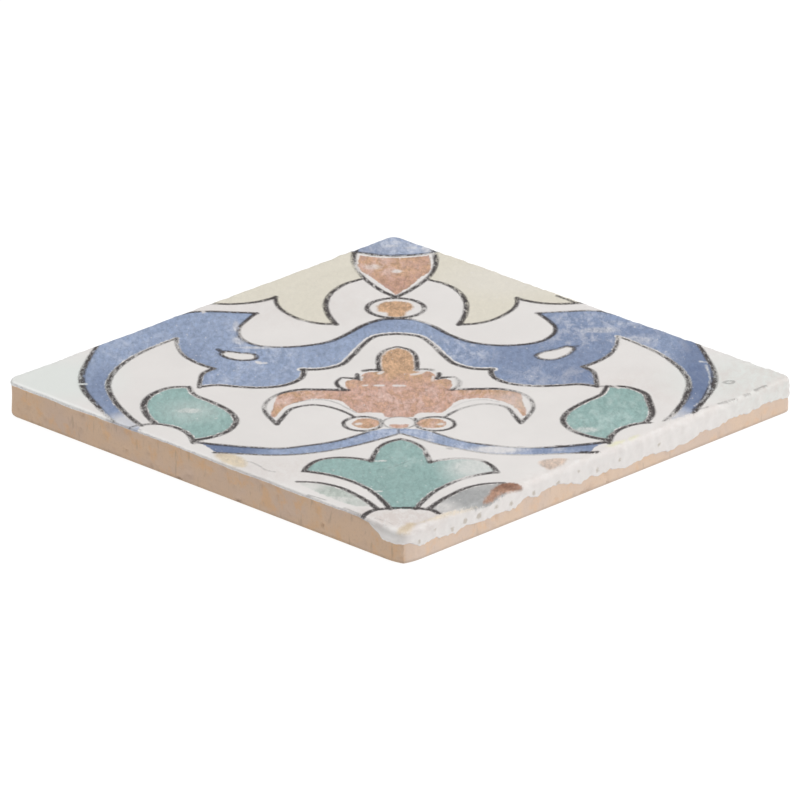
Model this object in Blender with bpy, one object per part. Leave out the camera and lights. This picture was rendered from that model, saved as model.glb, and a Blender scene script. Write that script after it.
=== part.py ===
"""A square glazed tile, one piece of fired clay with a glazed face, lying on its back.

Frame: millimetre sizes are written in metres, +Z is up out of the glazed face, the origin is the
middle of the back. The four edges face +X, -X, +Y and -Y. The tile was pressed from soft clay, so
its four corners are rounded unequally, its upper arris is rounded and its lower arris is eased.
"""

import bmesh
import bpy

MM = 0.001

SIDE = 200 * MM
THICKNESS = 13.2 * MM

# Radius of each corner in plan, by the sign of its X and its Y.
CORNER_RADIUS = {
    (-1, -1): 5.0 * MM,
    (1, -1): 2.8 * MM,
    (1, 1): 4.3 * MM,
    (-1, 1): 5.7 * MM,
}
CORNER_SEGMENTS = 8

FACE_ARRIS_RADIUS = 1.6 * MM
FACE_ARRIS_SEGMENTS = 5
BACK_ARRIS_RADIUS = 1.0 * MM
BACK_ARRIS_SEGMENTS = 3

TOUCH = 0.01 * MM
SMOOTH_ANGLE = 0.6

CLAY_COLOUR = (0.50, 0.33, 0.23)
CLAY_ROUGHNESS = 0.85
GLAZE_COLOUR = (0.76, 0.74, 0.70)
GLAZE_ROUGHNESS = 0.30


def clear_scene():
    for thing in list(bpy.data.objects):
        bpy.data.objects.remove(thing, do_unlink=True)


def new_collection(name):
    collection = bpy.data.collections.new(name)
    bpy.context.scene.collection.children.link(collection)
    return collection


def new_material(name, colour, roughness):
    material = bpy.data.materials.new(name)
    material.use_nodes = True
    shader = material.node_tree.nodes["Principled BSDF"]
    shader.inputs["Base Color"].default_value = (*colour, 1.0)
    shader.inputs["Roughness"].default_value = roughness
    shader.inputs["Metallic"].default_value = 0.0
    return material


def add_slab(name):
    """A plain block of the tile's full size, with its back on the plane Z = 0."""
    bpy.ops.mesh.primitive_cube_add(size=1.0, location=(0, 0, THICKNESS / 2))
    slab = bpy.context.object
    slab.name = slab.data.name = name
    slab.scale = (SIDE, SIDE, THICKNESS)
    bpy.ops.object.transform_apply(location=True, rotation=True, scale=True)
    return slab


def round_edges(bm, edges, radius, segments):
    bmesh.ops.bevel(
        bm,
        geom=edges,
        offset=radius,
        offset_type="OFFSET",
        segments=segments,
        profile=0.5,
        affect="EDGES",
        clamp_overlap=True,
    )


def upright_edge(bm, x_sign, y_sign):
    """The upright edge at one corner of the block, found by its place."""
    x, y = x_sign * SIDE / 2, y_sign * SIDE / 2
    return [
        edge
        for edge in bm.edges
        if all(abs(v.co.x - x) < TOUCH and abs(v.co.y - y) < TOUCH for v in edge.verts)
    ]


def rim_edges(bm, height):
    """The closed rim of a flat face that lies at the given height."""
    return [e for e in bm.edges if all(abs(v.co.z - height) < TOUCH for v in e.verts)]


def shape_slab(slab):
    bm = bmesh.new()
    bm.from_mesh(slab.data)
    for (x_sign, y_sign), radius in CORNER_RADIUS.items():
        round_edges(bm, upright_edge(bm, x_sign, y_sign), radius, CORNER_SEGMENTS)
    round_edges(bm, rim_edges(bm, THICKNESS), FACE_ARRIS_RADIUS, FACE_ARRIS_SEGMENTS)
    round_edges(bm, rim_edges(bm, 0.0), BACK_ARRIS_RADIUS, BACK_ARRIS_SEGMENTS)
    bm.to_mesh(slab.data)
    bm.free()


def paint_slab(slab):
    """Bare clay all over, and glaze on the face and its rounded arris."""
    slab.data.materials.append(new_material("fired_clay", CLAY_COLOUR, CLAY_ROUGHNESS))
    slab.data.materials.append(new_material("white_glaze", GLAZE_COLOUR, GLAZE_ROUGHNESS))
    glaze_line = THICKNESS - FACE_ARRIS_RADIUS
    for face in slab.data.polygons:
        face.material_index = 1 if face.center.z > glaze_line else 0
    slab.data.shade_smooth()
    slab.data.set_sharp_from_angle(angle=SMOOTH_ANGLE)


def build_tile():
    collection = new_collection("glazed_tile")
    tile = add_slab("tile")
    shape_slab(tile)
    paint_slab(tile)
    for old in list(tile.users_collection):
        old.objects.unlink(tile)
    collection.objects.link(tile)
    return tile


def main():
    clear_scene()
    build_tile()


main()
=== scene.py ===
"""Looks for one square majolica wall tile: a pressed clay body, a white glaze and painted ornament.

The body and the glaze are two pieces. The ornament is drawn as outlines in millimetres on
the tile's diagonal frame: u runs to the right corner and v to the back corner. Each outline and
each painted area becomes a distance kept on the glaze's points, and the glaze's nodes turn these
into brushed lines and washes of colour.
"""

import math
from collections import namedtuple
from functools import partial

import bpy
import numpy as np
from bpy.props import FloatProperty, FloatVectorProperty, PointerProperty
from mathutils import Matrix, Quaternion, Vector, noise


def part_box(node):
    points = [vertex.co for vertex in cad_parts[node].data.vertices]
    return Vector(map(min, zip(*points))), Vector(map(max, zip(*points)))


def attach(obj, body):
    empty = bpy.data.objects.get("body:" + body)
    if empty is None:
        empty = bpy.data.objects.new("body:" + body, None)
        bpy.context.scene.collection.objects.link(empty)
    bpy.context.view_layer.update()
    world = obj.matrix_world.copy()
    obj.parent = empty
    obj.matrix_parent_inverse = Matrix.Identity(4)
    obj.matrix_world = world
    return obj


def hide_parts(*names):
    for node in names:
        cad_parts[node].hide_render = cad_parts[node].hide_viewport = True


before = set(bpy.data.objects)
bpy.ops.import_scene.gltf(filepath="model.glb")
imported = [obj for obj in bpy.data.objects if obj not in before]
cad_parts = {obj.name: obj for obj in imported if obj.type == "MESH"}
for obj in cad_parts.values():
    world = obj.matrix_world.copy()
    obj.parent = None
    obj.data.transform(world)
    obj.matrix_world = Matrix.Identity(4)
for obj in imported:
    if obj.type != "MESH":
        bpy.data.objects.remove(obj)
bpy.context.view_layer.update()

bl_info = {
    "name": "Majolica Tile",
    "version": (1, 0, 0),
    "blender": (4, 5, 0),
    "location": "View3D > Sidebar > Tile",
    "description": "Models a square painted wall tile, its glaze and a plain studio around it",
    "category": "Add Mesh",
}

MM = 0.001
CLAY_INSET = 0.05
GLAZE_CELLS, GLAZE_ROWS = 280, 15
BISCUIT_CELLS, BISCUIT_ROWS = 240, 18
CLAY_SMOOTH_ANGLE, GLAZE_SMOOTH_ANGLE = 38, 60
TILE_LOW, TILE_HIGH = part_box("tile")
HALF_SIDE = (TILE_HIGH.x - TILE_LOW.x) / 2 / MM
THICKNESS = (TILE_HIGH.z - TILE_LOW.z) / MM
DIAGONAL = math.sqrt(2)

# Radius in plan of each corner, in mm, by the sign of its X and its Y
CORNER_RADIUS = {(-1, -1): 9.0, (1, -1): 2.8, (1, 1): 4.3, (-1, 1): 5.7}

Stroke = namedtuple("Stroke", "points width bare")

# Brushed outlines of the left half: points in mm, width in mm at the start, middle and end, and
# the bare margin that the painter left between the line and the colour beside it
STROKES = {
    "crown_side": Stroke([(-14.2, 127), (-15, 121), (-14.8, 111), (-12.2, 100), (-9, 92.5), (-4.7, 85),
        (0, 79.4)], (2.5, 1.9, 2.3), 2.0),
    "crown_top": Stroke([(-15.5, 124.6), (-8, 122.3), (0, 120.6)], (1.9, 2.4, 2.6), 0.0),
    "hood_inner": Stroke([(-12.4, 97), (-18.6, 92), (-23.4, 84), (-25.7, 73), (-24.8, 62), (-22, 52.2)],
        (1.9, 2.3, 2.4), 0.0),
    "hood_lower": Stroke([(-22.2, 52.7), (-27, 53), (-33, 55.6), (-39, 62), (-43, 70), (-44, 80.3)],
        (2.2, 1.8, 1.9), 0.0),
    "hood_outer": Stroke([(-44.2, 79.2), (-50.5, 75), (-58, 72.9), (-69, 73.6)], (2.4, 1.9, 1.9), 0.0),
    "band_top": Stroke([(0, 57.9), (-5, 57.2), (-11.5, 52.2), (-18.5, 42.5), (-25, 35.6), (-33, 31.9),
        (-44, 30.8), (-52, 33.4), (-57, 41), (-57.3, 49.5), (-54.3, 57.5), (-51, 63.8)],
        (2.4, 1.8, 2.0), 0.0),
    "leaf_top": Stroke([(-50.8, 63.5), (-60, 64.9), (-68, 65.5), (-75, 64.4), (-82, 60)],
        (1.9, 1.8, 1.6), 0.0),
    "arm_outer": Stroke([(-107, 38), (-111.5, 20), (-113.8, 4), (-112.5, -11), (-108.5, -23),
        (-101, -42)], (1.4, 2.8, 1.8), 0.4),
    "arm_inner": Stroke([(-80, 39.6), (-87, 32.2), (-95.5, 21.5), (-102, 8), (-104.2, -5),
        (-101.8, -20), (-96.5, -34.5), (-92, -44)], (1.4, 2.3, 2.2), 1.0),
    "leaf_side": Stroke([(-80, 40), (-79.5, 30.5), (-77, 22), (-72, 15), (-66.3, 10.1)],
        (1.5, 1.7, 2.2), 0.7),
    "leaf_notch": Stroke([(-66.3, 10.2), (-70, 6), (-71.3, -1), (-71.5, -8)], (2.2, 1.8, 2.0), 0.7),
    "leaf_foot": Stroke([(-71.6, -7.6), (-65, -5.6), (-58, -7.2), (-49, -8.3), (-40, -5.6), (-34.8, 1),
        (-34.1, 9.3)], (2.0, 2.1, 2.2), 1.1),
    "band_foot": Stroke([(-34.8, 9), (-28, 9.1), (-21, 13), (-16.5, 22), (-12.5, 32.5), (-7.5, 41),
        (0, 43.2)], (2.2, 2.1, 2.0), 1.7),
    "drop_back": Stroke([(-75.5, -7.2), (-82, -8), (-88, -13.5), (-91.2, -23), (-90.3, -33),
        (-86.9, -42)], (1.8, 2.7, 2.4), 1.3),
    "drop_foot": Stroke([(-97, -46), (-92, -43), (-87, -42.2), (-80.5, -45), (-75.6, -51),
        (-73.3, -60)], (1.4, 2.0, 2.4), 1.1),
    "drop_belly": Stroke([(-73.3, -57.6), (-66.5, -54.2), (-60.5, -48), (-58.2, -39.5), (-60.5, -31),
        (-67, -21.8), (-73, -15), (-75.3, -7)], (2.4, 2.3, 1.8), 1.2),
    "garland_top": Stroke([(-72, -59.4), (-63.3, -62), (-52.5, -64.3), (-41.5, -65.1), (-33.3, -62.8),
        (-22, -58), (-11.7, -50.3)], (2.3, 1.8, 1.4), 0.0),
    "garland_foot": Stroke([(-66, -68.9), (-56.7, -70.1), (-43.3, -71.4), (-32, -69.8), (-20, -64.7),
        (-9.5, -58.3), (-0.4, -52)], (1.8, 1.5, 1.3), 0.3),
    "lobe": Stroke([(0, 31.1), (-4, 28.2), (-6.7, 22.6), (-7.2, 16), (-6.9, 7.6)], (1.6, 1.8, 2.0),
        0.9),
    "step_high": Stroke([(-6.5, 8.1), (-10, 8.4), (-12.4, 7.6)], (1.9, 2.1, 2.1), 0.0),
    "step_upright": Stroke([(-14.8, 4.6), (-14.7, 2), (-14, -0.8)], (1.7, 1.9, 2.0), 0.0),
    "step_low": Stroke([(-13.8, -0.4), (-17, 0.5), (-20.4, 1)], (2.2, 2.0, 1.4), 0.0),
    "shoulder": Stroke([(-20.6, 0.8), (-22.3, -3.5), (-21.4, -7.8), (-19, -11)], (1.2, 1.9, 2.0), 0.0),
    "volute_back": Stroke([(-18.4, -10.9), (-28.4, -10.3), (-36, -10.5), (-42.5, -14), (-47, -20.5),
        (-48.3, -28.9), (-46.2, -37), (-43.7, -43.2)], (2.4, 1.8, 2.0), 0.8),
    "volute_front": Stroke([(-43.7, -42.8), (-41.6, -36), (-38.3, -28), (-31, -24.6), (-24, -27.4),
        (-16.4, -35.8)], (2.2, 1.6, 1.5), 0.0),
    "bud": Stroke([(0, -57.1), (-4, -59.3), (-7.6, -64), (-9.3, -70.3), (-10.7, -77.4)],
        (2.0, 1.8, 2.4), 0.8),
    "leaflet_top": Stroke([(-10.6, -77.2), (-16, -74.6), (-22, -73.8), (-29, -76.2), (-33, -82),
        (-34.5, -86.6)], (2.0, 1.7, 2.2), 0.8),
    "leaflet_foot": Stroke([(-34.5, -86.3), (-26, -89.6), (-17.5, -95.8), (-10.4, -105.3), (-7, -113.5),
        (-4.4, -121)], (2.1, 1.8, 2.3), 1.0),
    "blade": Stroke([(-37, -96), (-30, -96.7), (-23.3, -99.9), (-16, -108), (-9, -120.8)],
        (1.5, 2.0, 2.4), 1.0),
    "fan": Stroke([(-13.6, -126.6), (-10.9, -122.6), (-5, -120.4), (0, -120)], (2.5, 2.2, 2.1), 0.0),
}

# Closed outlines, each drawn once, with the width of the line in mm
LOOPS = {
    "eye_left": ([(-63.4, 26.3), (-57, 25.3), (-51.6, 23.6), (-51.2, 19.8), (-56, 18.1), (-61.3, 20.2),
        (-63.9, 24)], 1.9),
    "eye_right": ([(49.8, 21.4), (52.6, 25.1), (57.4, 27.4), (61.6, 30.2), (63.6, 29.2), (62.9, 24.7),
        (60.2, 20.8), (55.4, 17.6), (51.4, 18.6)], 1.9),
}

# Round outlines: middle, radius across, radius along, width of the line
RINGS = {
    "bead": (-0.2, 68.4, 10.5, 9.9, 2.1),
    "pearl_left": (-13.3, -42.6, 6.9, 6.6, 1.7),
    "pearl_middle": (-0.3, -41.8, 5.8, 5.6, 1.0),
    "pearl_right": (12.5, -42.8, 6.9, 6.6, 1.6),
}

# Blots, dashes and short strokes of ink that have no twin: points and width in mm, one width or
# the widths at the start, middle and end
TICKS = [
    ([(5.4, -38), (5.8, -42), (6.4, -46.5)], 1.7), ([(-7, -38.5), (-7, -43), (-7.6, -46)], 1.2),
    ([(-0.7, -47.8), (-0.6, -51.2)], 1.1), ([(-8.5, 121.9), (-5, 121.2)], 2.4),
    ([(0, 121.2), (4.5, 121.5)], 2.4), ([(74, -55.6), (73.2, -61)], 2.2),
    ([(64, -69.9), (69.8, -69.3)], 2.4), ([(55, -64.4), (61, -64.2)], 2.0),
    ([(92.4, -46.6), (94.6, -46.8)], 1.3), ([(41.5, -64.8), (43.5, -65.2)], 1.6),
    ([(-63.2, 25.4), (-65, 28.6)], 2.2), ([(62, 29.6), (65.2, 30.6)], 1.3),
    ([(58.9, 79.8), (62.3, 76.2), (66.2, 72.4)], 1.3), ([(16.5, -66), (17.8, -66.6)], 1.5),
    ([(112.8, 11), (113.1, 4.7), (112, -9.4), (108.4, -21.6), (104.4, -31)], (1.2, 3.2, 0.8)),
    ([(101.6, 8), (104, -4), (102.6, -19), (98.4, -33)], (1.2, 3.1, 1.4)),
]

# Pale lines where ink was all but wiped away: points and width in mm
FAINT_LINES = [
    ([(-38, -23.2), (-33, -20.2), (-27, -20), (-22.3, -23), (-19, -27.4), (-15.6, -32)], 0.8),
    ([(19.2, -27.5), (24, -22), (30, -20.2), (35.4, -22.4)], 0.8),
    ([(6.8, 8.4), (10, 8.3), (12.4, 6.8)], 1.0),
    ([(20.6, -1.6), (21.1, -5), (20.2, -9), (18.8, -12)], 1.4),
    ([(-57.5, -76), (-53.8, -77.4), (-50.1, -81.4), (-47.7, -85.4), (-44.6, -87.1)], 0.7),
    ([(105.5, -31), (110, -27.6)], 0.9), ([(114, -24.6), (117.5, -22.4), (120.5, -20)], 1.3),
    ([(123.5, -16.8), (125.6, -14.6)], 1.1), ([(127.4, -12.4), (131.6, -8)], 1.3),
    ([(52, -88), (49.2, -92.6), (45.4, -97.6)], 0.7),
    ([(116.5, -5), (118, -3.7), (120.2, -3.9), (119.8, -5.6), (118, -6.1), (116.5, -5)], 1.3),
    ([(71, -8), (75, -8.2), (79, -8.8)], 1.7), ([(-9.5, -86), (-2, -82), (3, -77)], 0.4),
    ([(-103, -40.1), (-97.5, -43.8), (-92.1, -47.8)], 0.8), ([(-79.6, -62.1), (-74, -69)], 0.5),
    ([(-68.5, -75.5), (-62.6, -81), (-56.8, -86.9)], 0.6), ([(-33, -107.8), (-27, -112.6)], 0.8),
    ([(-20.5, -119.8), (-14.2, -126.3)], 0.9), ([(-9.9, -128.6), (-6.6, -130.6), (-2.9, -133.9)], 0.3),
    ([(-7, -133), (-4, -134.8), (-0.9, -137.5)], 0.3),
]

# Scratches and flakes that went through the paint to the white: points and width in mm
FLAWS = [
    ([(-116, -4.6), (-112.5, -4.3)], 2.0), ([(76.9, -6.8), (78.9, -9.8)], 1.6),
    ([(-70.6, 65.4), (-70.2, 64.6)], 1.9), ([(-50.8, 16.6), (-49.4, 15.2), (-48, 15.6)], 2.0),
    ([(-1.6, -6.9), (1.7, -6.9)], 2.0), ([(-8.1, -6.6), (-5.8, -6.5)], 1.9),
    ([(-12.6, -6.6), (-11.4, -6.4)], 1.5), ([(-9.1, -77.2), (-5.8, -77)], 1.3),
    ([(-9.4, -104.6), (-7.4, -104.8)], 1.1), ([(-15.2, -42.9), (-14.4, -42.6)], 2.3),
    ([(14, -43.2), (14.8, -42.8)], 2.1), ([(-14.3, -33.6), (-10.5, -32.6), (-6.6, -33.2)], 1.9),
    ([(6, -35.6), (8.4, -33.4), (12.6, -33), (16, -34.6)], 1.9), ([(-7, 4.6), (-5.6, 6.4)], 1.5),
    ([(4.8, 3.6), (6.8, 4.2), (9.2, 7)], 1.9), ([(-13.4, -1.4), (-13.1, 1.8)], 1.0),
    ([(12, -2.4), (12.4, 1.6)], 1.2), ([(109, 15.4), (111.6, 14.4)], 1.2),
    ([(110.9, 12), (111.8, 2), (111.4, -9), (109.2, -19), (105.4, -27)], 0.7),
]

# Burns, chips, smears and streaks with no line round them, as closed outlines in mm
STAINS = {
    "rust": [[(28.2, -113.4), (30.4, -106.2), (32.8, -100.6), (35.7, -97.8), (39.3, -97.3), (42.4, -99),
        (40.3, -101.6), (37, -104), (34, -106.8), (31.2, -111)]],
    "tan": [[(48.2, -78.4), (51.4, -76), (58.8, -76), (57.2, -80), (54.8, -83), (52.1, -85.6),
        (50.2, -84)]],
    "yellow": [
        [(-66, -70.4), (-60, -70.2), (-54.2, -78.4), (-55.4, -83), (-60, -80.8), (-64.6, -75.4)],
        [(-2.4, -138), (-0.6, -134), (2.6, -131.2), (4.6, -132), (3.4, -135), (0.6, -138.8)],
        [(5, -131.8), (10, -128), (15, -123.6), (19.4, -120.6), (26, -115.6), (21, -120.6),
         (15.4, -125.2), (10.6, -129.4)]],
    "lemon": [
        [(72.4, -65), (75.2, -63.4), (79, -60), (80, -57.8), (77, -59.2), (74, -61.8)],
        [(80.4, -58.2), (84, -55), (85, -53), (81.6, -55.4)]],
}

# Where the right half strays from the mirror image of the left: place on the left, the shift and
# how far it reaches, in mm
HAND_DRIFT = [
    (-15, 110, 0.2, -1.5, 13), (-22, 52, 0.7, -0.4, 13), (-26, 75, -0.2, 0.0, 13),
    (-44, 79, 0.4, -2.6, 13), (-58, 73, 1.0, -0.9, 13), (-51, 63, 0.3, -0.5, 13),
    (-63, 27, -0.6, 2.6, 13), (-51, 20, -0.8, 1.6, 13), (-66, 10, 0.6, 0.5, 13),
    (-71, -7, -0.1, -0.6, 13), (-50, -8, 0.8, 0.9, 13), (-34, 9, -1.3, -0.9, 13),
    (-22, 12, 0.0, 0.6, 13), (-104, 4, -0.6, 0.2, 13), (-112, -10, 0.2, 2.4, 13),
    (-99, -30, 3.0, 0.5, 8), (-91.5, -26, -4.2, 0.0, 7), (-76, -8, -1.7, -1.2, 13),
    (-87, -42, 0.4, -0.8, 13), (-73, -58, 0.3, -1.8, 13), (-60, -35, 0.0, -1.5, 13),
    (-48, -27, -1.0, 1.8, 13), (-43, -42, -1.4, 0.8, 13), (-30, -24, 0.0, 0.2, 13),
    (-19, -64, 0.5, -1.8, 13), (-62, -63, 0.8, -1.3, 13), (-11, -77, -1.0, -1.6, 13),
    (-34, -86, -0.9, -1.3, 13), (-37, -96, -2.0, -2.3, 13), (-18, -100, 0.4, -2.0, 13),
    (-7.5, 18, -0.9, 0, 6), (-106.5, -31, -1.4, 0, 6),
]

# How far from the middle line the drift is whole, in mm, and the share that pulls towards none
DRIFT_START, DRIFT_HOLD = 9.0, 0.35

# Colours as they look under the studio light, as sRGB hex
GROUND = "e8e4e1"
# Painted sheen: the cool, pale white of the far corners
PAINTED_SHEEN_GROUND = "e3e6e2"
# Painted light: the near-white that lifts the glaze on the shaded -X rim
PAINTED_RIM_LIGHT_WHITE = "f7f7f5"
DULL_GROUND = "d9d0cb"
INK = "312929"
PINHOLE = "a4957f"
THIN_GLAZE = "c4bfc2"
PAPER = "606060"
PAPER_GLOW = 0.95


def linear(hex_colour):
    """An sRGB hex colour as the linear red, green and blue that shaders take."""
    channels = [int(hex_colour[i:i + 2], 16) / 255 for i in (0, 2, 4)]
    return tuple(c / 12.92 if c <= 0.04045 else ((c + 0.055) / 1.055) ** 2.4 for c in channels)


def length_property(label, text, default):
    return FloatProperty(name=label, description=text, default=default * MM, unit="LENGTH",
                         precision=5)


def colour_property(label, text, hex_colour):
    return FloatVectorProperty(name=label, description=text, default=linear(hex_colour),
                               subtype="COLOR", size=3, min=0.0, max=1.0)


class TileSizes(bpy.types.PropertyGroup):
    """Sizes of the clay body and of the glaze on it."""

    coat: length_property("Glaze thickness", "Thickness of the glaze on the face", 0.5)
    face_arris: length_property("Face arris", "Radius of the clay's edge under the glaze", 1.9)
    back_arris: length_property("Back arris", "Radius of the clay's edge round its back", 1.0)
    swell: length_property("Swell", "Height of the slow waves in the glazed face", 0.14)
    grit: length_property("Grit", "Height of the lumps where glaze ran down the edges", 0.5)


class TileColours(bpy.types.PropertyGroup):
    """Colours of the clay, the glaze and the pigments."""

    clay: colour_property("Clay", "Fired clay", "ddbfa4")
    clay_warm: colour_property("Warm clay", "Iron-rich patches in the clay", "e1b88f")
    clay_cool: colour_property("Cool clay", "Ashy patches in the clay", "d5bcaa")
    ground: colour_property("White glaze", "Opaque white ground glaze", GROUND)
    ink: colour_property("Outline", "Manganese brown-black of the outlines", INK)
    blue: colour_property("Blue", "Cobalt wash", "909fbb")
    green: colour_property("Green", "Copper wash", "93b1ad")
    terracotta: colour_property("Terracotta", "Iron-red wash", "c29a8a")
    ochre: colour_property("Ochre", "Antimony and iron wash", "c7a17f")
    cream: colour_property("Cream", "Thin cream wash at the back", "dfd9ca")
    slate: colour_property("Slate", "Grey wash at the front right", "9fa0a0")
    sage: colour_property("Sage", "Thin grey-green wash at the front left", "adb7af")
    rust: colour_property("Rust", "Burnt spots where iron came through", "a57e68")
    tan: colour_property("Tan", "Scuffs where the clay shows", "ccb29e")
    yellow: colour_property("Yellow", "Stains of antimony yellow and iron", "d9c6a4")
    lemon: colour_property("Lemon", "Faint stain of antimony yellow", "e8e6b6")


# How each wash dried: how far its edge feathers out in mm, how strongly its grains show, how
# strongly it clouds to white, how dark it pools and how well it covers
Wash = namedtuple("Wash", "feather grain cloud pool cover")
WASHES = {
    "cream": Wash(0.4, 0.10, 0.12, 0.0, 1.0),
    "blue": Wash(0.5, 0.56, 0.86, 0.70, 1.0),
    "green": Wash(0.4, 0.42, 0.55, 0.3, 1.0),
    "terracotta": Wash(0.5, 0.76, 0.70, 0.3, 1.0),
    "ochre": Wash(1.0, 0.95, 0.25, 0.2, 1.0),
    "slate": Wash(0.6, 0.30, 0.50, 0.2, 0.95),
    "sage": Wash(0.9, 0.30, 0.80, 0.2, 0.9),
    "tan": Wash(1.2, 0.90, 0.0, 0.4, 0.75),
    "yellow": Wash(1.4, 0.50, 0.0, 0.5, 0.7),
    "lemon": Wash(1.4, 0.30, 0.0, 0.0, 0.6),
    "rust": Wash(0.9, 0.90, 0.0, 0.5, 1.0),
}


# Drawing: curves through given points, distances to them and insides

def smooth_line(points, closed=False, step=0.6):
    """A curve through given points, as points about step mm apart."""
    knots = np.array(points, float)
    if closed:
        knots = np.vstack([knots[-2:], knots, knots[:3]])
    leg = np.diff(knots, axis=0)
    chord = np.linalg.norm(leg, axis=1)[:, None]
    slope = leg / chord
    tangent = np.empty_like(knots)
    if len(knots) > 2:
        tangent[1:-1] = (slope[:-1] * chord[1:] + slope[1:] * chord[:-1]) / (chord[1:] + chord[:-1])
        tangent[0] = 1.5 * slope[0] - 0.5 * tangent[1]
        tangent[-1] = 1.5 * slope[-1] - 0.5 * tangent[-2]
    else:
        tangent[:] = slope[0]
    first, last = (2, len(knots) - 3) if closed else (0, len(knots) - 1)
    line = []
    for i in range(first, last):
        t = np.arange(0, 1, step / max(chord[i, 0], step))[:, None]
        line.append(knots[i] * (1 + 2 * t) * (1 - t) ** 2
                    + tangent[i] * chord[i] * t * (1 - t) ** 2
                    + knots[i + 1] * t * t * (3 - 2 * t)
                    + tangent[i + 1] * chord[i] * t * t * (t - 1))
    line.append(knots[last:last + 1])
    return np.vstack(line)


def oval(u, v, across, along, count=48):
    turn = np.linspace(0, 2 * math.pi, count + 1)
    return np.stack([u + across * np.cos(turn), v + along * np.sin(turn)], axis=1)


def right_hand(points):
    """The mirror image of a line of the left half, with the painter's drift from it."""
    points = np.array(points, float)
    knots = np.array(HAND_DRIFT, float)
    away = np.linalg.norm(points[:, None] - knots[None, :, :2], axis=2)
    weight = np.exp(-(away / knots[:, 4]) ** 2)
    share = weight / (weight.sum(axis=1, keepdims=True) + DRIFT_HOLD)
    drift = share @ knots[:, 2:4]
    drift *= np.clip(-points[:, :1] / DRIFT_START, 0, 1)
    return points * (-1, 1) + drift


def near_line(spots, line, reach):
    """Which spots lie within reach of a line's box, as their indices."""
    low, high = line.min(axis=0) - reach, line.max(axis=0) + reach
    return np.flatnonzero(((spots > low) & (spots < high)).all(axis=1))


def distance_along(spots, line):
    """Each spot's distance to a line, and how far along the line its nearest point is, 0 to 1."""
    best = np.full(len(spots), 1e9)
    place = np.zeros(len(spots))
    leg = np.diff(line, axis=0)
    size = (leg ** 2).sum(axis=1)
    start = np.concatenate([[0], np.cumsum(np.sqrt(size))])
    for i in np.flatnonzero(size > 0):
        t = np.clip((spots - line[i]) @ leg[i] / size[i], 0, 1)
        away = ((spots - line[i] - t[:, None] * leg[i]) ** 2).sum(axis=1)
        nearer = away < best
        best[nearer] = away[nearer]
        place[nearer] = (start[i] + t[nearer] * math.sqrt(size[i])) / start[-1]
    return np.sqrt(best), place


def inside(spots, outline):
    """Whether each spot is inside a closed outline."""
    found = np.zeros(len(spots), bool)
    for a, b in zip(outline, np.roll(outline, -1, axis=0)):
        if a[1] == b[1]:
            continue
        spans = (spots[:, 1] >= a[1]) != (spots[:, 1] >= b[1])
        crossing = a[0] + (spots[:, 1] - a[1]) * (b[0] - a[0]) / (b[1] - a[1])
        found ^= spans & (spots[:, 0] < crossing)
    return found


REACH = 6.0


def signed_distance(spots, outline):
    """Distance to a closed outline's edge in mm, below 0 inside it and never past REACH."""
    field = np.full(len(spots), REACH)
    near = near_line(spots, outline, REACH)
    within = inside(spots[near], outline)
    away, _ = distance_along(spots[near], np.vstack([outline, outline[:1]]))
    field[near] = np.where(within, -1, 1) * np.minimum(away, REACH)
    return field


def stroke_field(spots, line, width):
    """Distance to the edge of a stroke of one width, or of one for its start, middle and end."""
    field = np.full(len(spots), REACH)
    near = near_line(spots, line, REACH)
    away, place = distance_along(spots[near], line)
    field[near] = away - np.interp(place, (0, 0.5, 1), np.broadcast_to(width, 3)) / 2
    return np.minimum(field, REACH)


def bare_margin(spots, line, margin):
    """Below 0 where a spot is further from the line than the margin left beside it."""
    field = np.full(len(spots), -REACH)
    near = near_line(spots, line, REACH)
    away, _ = distance_along(spots[near], line)
    field[near] = np.maximum(margin - away, -REACH)
    return field


def left_line(name):
    return smooth_line(STROKES[name].points)


def chain(*names):
    """Strokes of the left half joined end to end. A minus sign before a name turns it round."""
    lines = []
    for name in names:
        line = left_line(name.lstrip("-")) if isinstance(name, str) else np.array(name, float)
        lines.append(line[::-1] if isinstance(name, str) and name.startswith("-") else line)
    return np.vstack(lines)


def both_halves(outline):
    """A left outline that starts and ends on the middle line, closed by its right-hand twin."""
    return np.vstack([outline, right_hand(outline)[::-1]])


def pair(outline):
    return [outline, right_hand(outline)]


def union(spots, outlines):
    return np.minimum.reduce([signed_distance(spots, outline) for outline in outlines])


def margins(spots, *names):
    """The bare margins beside the named strokes, on both halves."""
    fields = []
    for name in names:
        for line in pair(left_line(name)):
            fields.append(bare_margin(spots, line, STROKES[name].bare))
    return np.maximum.reduce(fields)


def painted(spots, outlines, *names):
    """The area inside any of the outlines, short of the bare margins beside the named strokes."""
    return np.maximum(union(spots, outlines), margins(spots, *names))


def blue_field(spots):
    band = both_halves(chain(
        "band_top", "leaf_top", [(-100, 70), (-125, 45)], "arm_outer", [(-95, -55)],
        "-arm_inner", "leaf_side", "leaf_notch", "leaf_foot", "band_foot"))
    corner = both_halves(chain([(0, 150)], [(-30, 140)], "crown_top"))
    garland = both_halves(chain(
        [(0, -47), (-6, -47.5)], "-garland_top", [(-69.5, -62), (-66, -68)], "garland_foot",
        [(0, -52)]))
    eyes = union(spots, [smooth_line(points, closed=True) for points, _ in LOOPS.values()])
    pearls = union(spots, [oval(*RINGS[name][:4])
                           for name in ("pearl_left", "pearl_middle", "pearl_right")])
    band_field = painted(spots, [band], "arm_outer", "arm_inner", "leaf_side", "leaf_notch",
                         "leaf_foot", "band_foot")
    return np.minimum.reduce([
        np.maximum(band_field, -eyes), signed_distance(spots, corner),
        np.maximum(painted(spots, [garland], "garland_foot"), -pearls)])


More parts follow.
